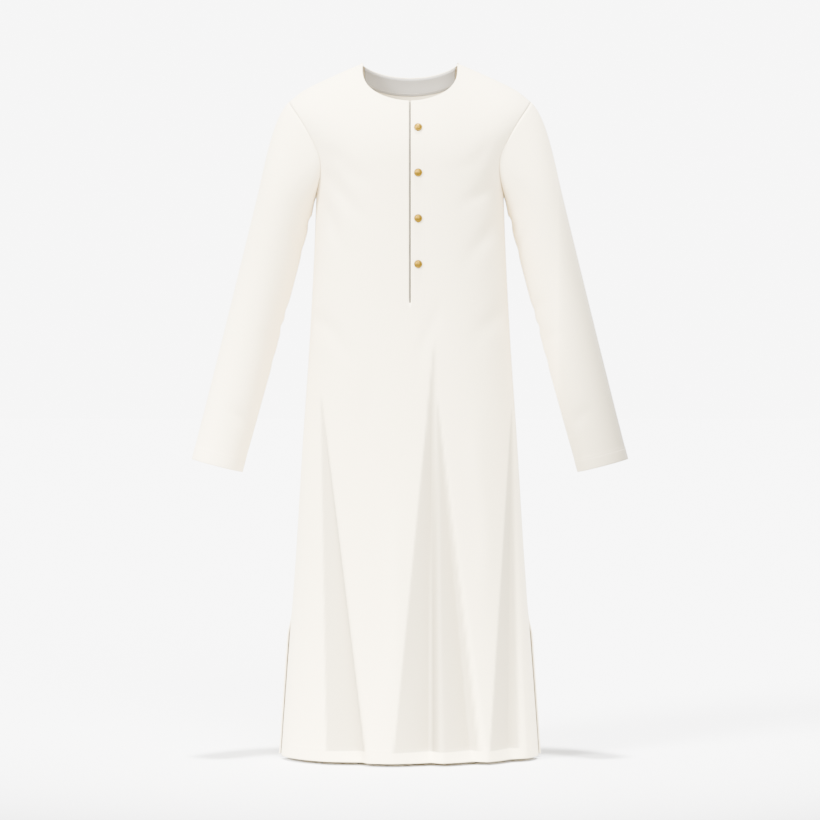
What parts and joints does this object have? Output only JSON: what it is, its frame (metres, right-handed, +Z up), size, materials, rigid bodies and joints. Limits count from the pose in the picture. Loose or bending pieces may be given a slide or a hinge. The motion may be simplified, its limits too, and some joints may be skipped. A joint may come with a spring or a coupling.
{
  "type": "kurta",
  "caption": "Long round-necked cotton kurta, filled out and hanging, with a buttoned front opening, long sleeves, side slits and soft hem folds.",
  "frame": {"origin": "midway between the two neck points, where the shoulder seams meet the neckline and the garment rests on the wearer's shoulders", "axes": "+Z up, -Y out of the front, +X towards the wearer's left"},
  "size_m": [0.7364, 0.2746, 1.1742],
  "materials": {
    "cotton": "off-white plain-weave cotton, matt with a faint soft sheen",
    "facing": "pale grey plain-weave cotton, matt",
    "button": "satin gold-coloured brass"
  },
  "bodies": {
    "root": {"front_panel": "cotton", "back_panel": "cotton", "left_sleeve": "cotton", "right_sleeve": "cotton", "top_placket": "cotton", "under_placket": "facing", "neck_facing": "facing", "button_1": "button", "button_2": "button", "button_3": "button", "button_4": "button"}
  },
  "joints": []
}
